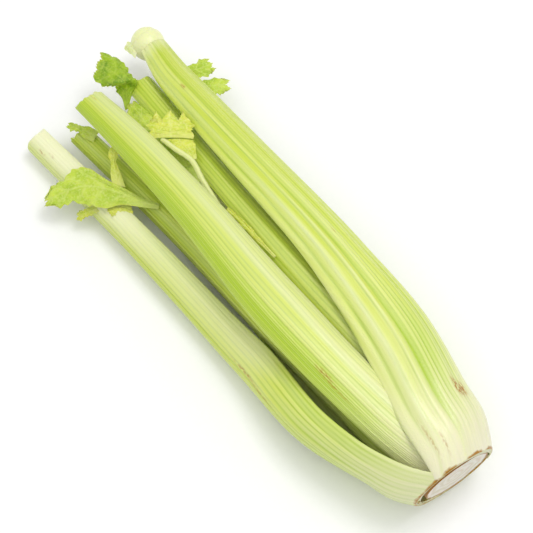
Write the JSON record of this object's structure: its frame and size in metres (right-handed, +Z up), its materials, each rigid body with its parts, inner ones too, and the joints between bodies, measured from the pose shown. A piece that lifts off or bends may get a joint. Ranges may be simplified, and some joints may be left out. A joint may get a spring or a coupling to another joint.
{
  "type": "head of celery",
  "caption": "Trimmed head of celery lying on its side: pale green ribbed stalks fanning out from a cut butt, with small leaves left between the stalk tops.",
  "frame": {"origin": "bottom centre of the bounding box, on the surface the head lies on", "axes": "+X along the head from the cut butt to the stalk tops, +Z up, +Y to the left when looking along +X"},
  "size_m": [0.3528, 0.1474, 0.0697],
  "materials": {
    "stalk": "waxy, ribbed, pale yellow-green, whiter towards the butt",
    "heart": "satin, pale yellow",
    "cut": "matt cut flesh with a browned rim",
    "leaf": "satin, fresh green, veined",
    "pale_leaf": "satin, pale yellow-green, veined"
  },
  "bodies": {
    "root": {"crown": "cut", "outer_right_stalk": "stalk", "outer_left_stalk": "stalk", "under_right_stalk": "stalk", "under_left_stalk": "stalk", "top_stalk": "stalk", "inner_right_stalk": "stalk", "inner_left_stalk": "stalk", "heart_stalk_lower": "heart", "heart_stalk_middle": "heart", "heart_stalk_upper": "heart", "knuckle": "heart", "heart_stem": "heart", "green_leaf_stem": "heart", "leaf_green": "leaf", "leaf_heart_face": "pale_leaf", "leaf_heart_fold": "pale_leaf", "leaf_heart_under": "pale_leaf", "leaf_left_broad": "pale_leaf", "leaf_left_small": "pale_leaf", "leaf_left_lobe": "pale_leaf", "leaf_bud": "pale_leaf", "leaf_tip_left": "pale_leaf", "leaf_right_upper": "pale_leaf", "leaf_right_lower": "pale_leaf", "knuckle_flap": "pale_leaf", "leaf_inner": "pale_leaf"}
  },
  "joints": []
}
